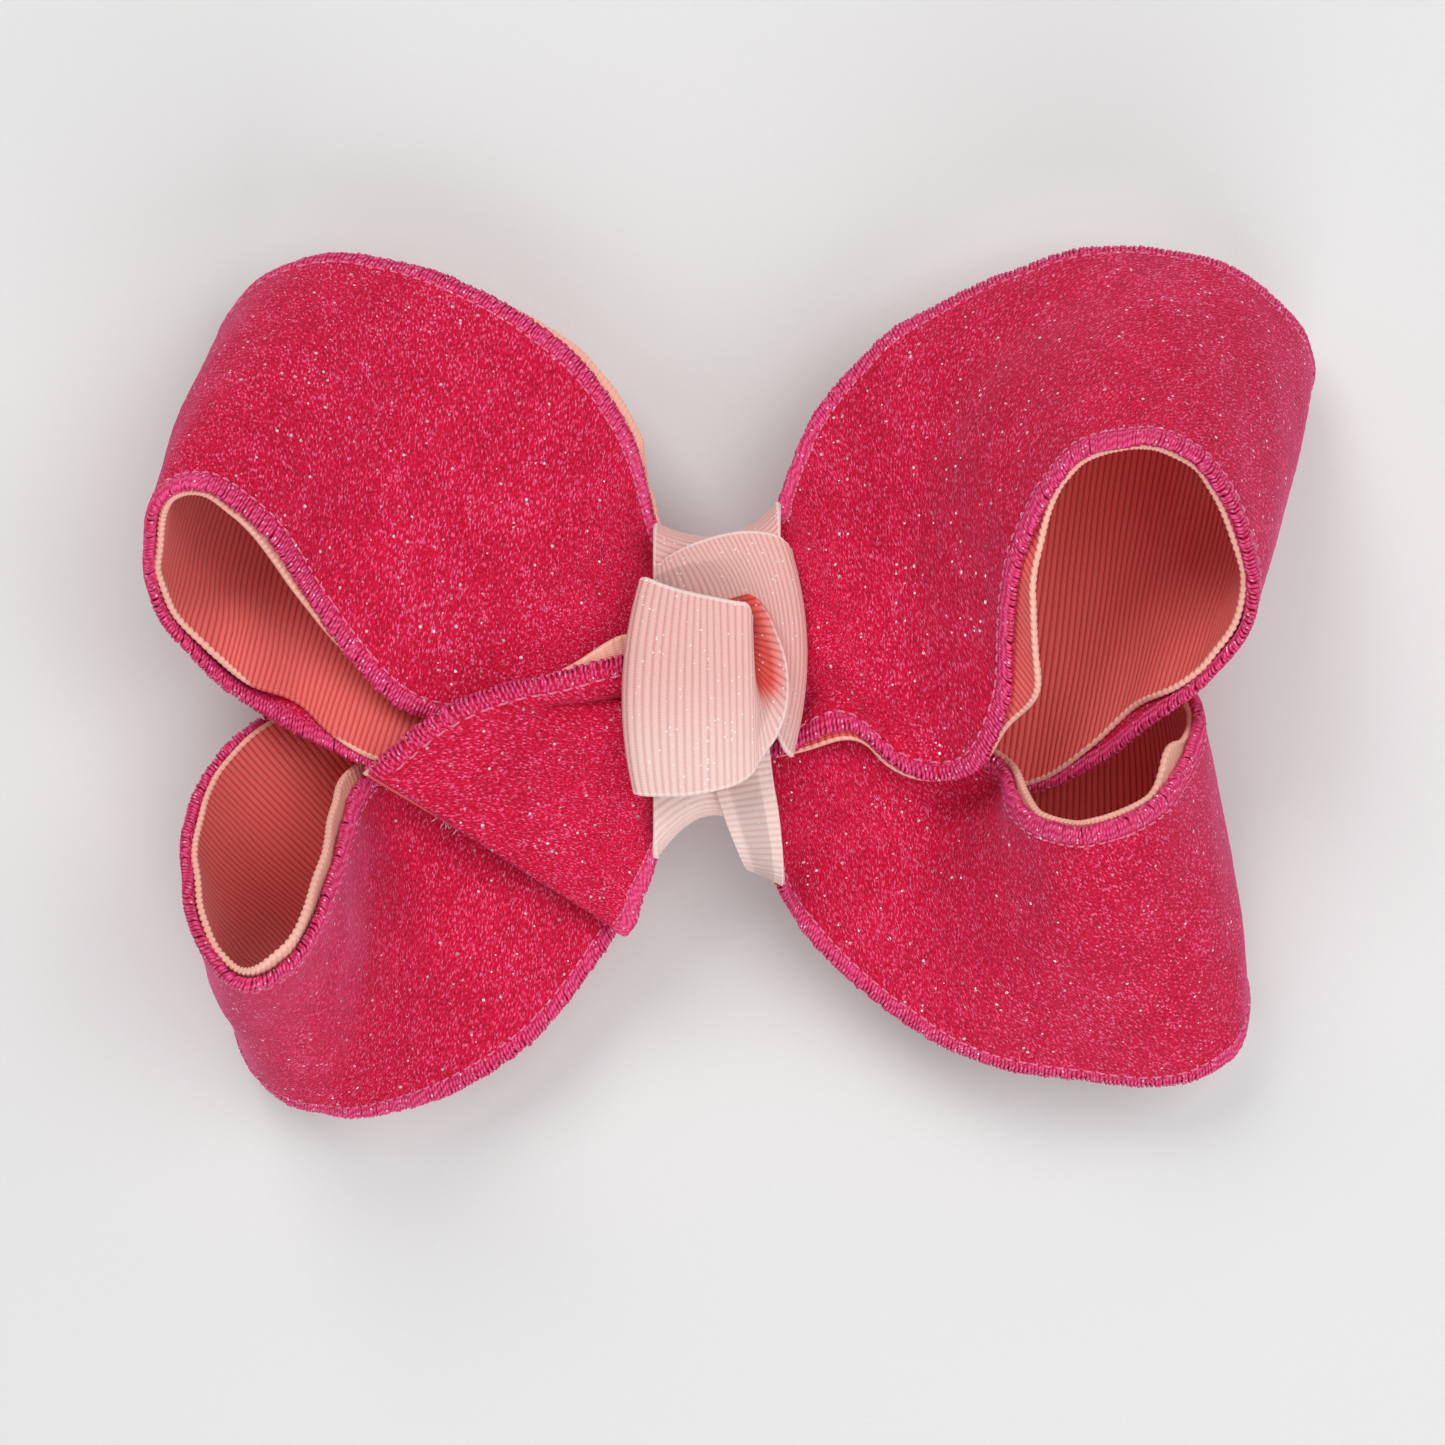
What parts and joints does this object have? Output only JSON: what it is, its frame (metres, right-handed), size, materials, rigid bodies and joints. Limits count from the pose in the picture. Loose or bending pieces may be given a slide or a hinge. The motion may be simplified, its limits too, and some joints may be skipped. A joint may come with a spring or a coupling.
{
  "type": "hair bow",
  "caption": "Four-loop boutique hair bow of glitter velvet lined with pale ribbon, with a cut ribbon end, a tied knot and a sprung alligator clip behind.",
  "frame": {"origin": "on the flat belly of the clip's jaw, under the middle of the knot", "axes": "+Z out of the bow's face, +X to the right and +Y up the bow as it is seen from the front"},
  "size_m": [0.1256, 0.0962, 0.0429],
  "materials": {
    "velvet": "crushed glitter velvet, hot pink, with white and pink sparkle",
    "edge_stitching": "overlocked magenta edge with an iridescent thread",
    "grosgrain_lining": "pale peach pink ribbed grosgrain with a beaded selvedge",
    "knot_grosgrain": "pale pink ribbed grosgrain",
    "binding_thread": "white polyester thread",
    "glue": "set hot-melt glue",
    "clip_steel": "plated pressed steel"
  },
  "bodies": {
    "bow": {"velvet_loop_upper_right": "velvet", "lining_loop_upper_right": "grosgrain_lining", "edge_stitch_loop_upper_right_outer": "edge_stitching", "edge_stitch_loop_upper_right_inner": "edge_stitching", "velvet_loop_lower_right": "velvet", "lining_loop_lower_right": "grosgrain_lining", "edge_stitch_loop_lower_right_outer": "edge_stitching", "edge_stitch_loop_lower_right_inner": "edge_stitching", "velvet_loop_upper_left": "velvet", "lining_loop_upper_left": "grosgrain_lining", "edge_stitch_loop_upper_left_outer": "edge_stitching", "edge_stitch_loop_upper_left_inner": "edge_stitching", "velvet_loop_lower_left": "velvet", "lining_loop_lower_left": "grosgrain_lining", "edge_stitch_loop_lower_left_outer": "edge_stitching", "edge_stitch_loop_lower_left_inner": "edge_stitching", "velvet_tail": "velvet", "lining_tail": "grosgrain_lining", "edge_stitch_tail_outer": "edge_stitching", "edge_stitch_tail_inner": "edge_stitching", "knot_face": "knot_grosgrain", "knot_cross_band": "knot_grosgrain", "knot_tail_upper": "knot_grosgrain", "knot_tail_lower": "knot_grosgrain", "binding_thread": "binding_thread", "glue_pad": "glue", "clip_lining": "grosgrain_lining", "clip_upper_arm": "clip_steel", "clip_hinge_pin": "clip_steel", "clip_spring": "clip_steel"},
    "jaw": {"clip_lower_jaw": "clip_steel"}
  },
  "joints": [
    {"name": "jaw_hinge", "type": "hinge", "parent": "bow", "child": "jaw", "pos_m": [0.011, 0, 0.0034], "axis": [0, -1, 0], "range_deg": [0, 28], "stiffness_Nm_per_rad": 0.15, "springref_deg": -40.11}
  ]
}
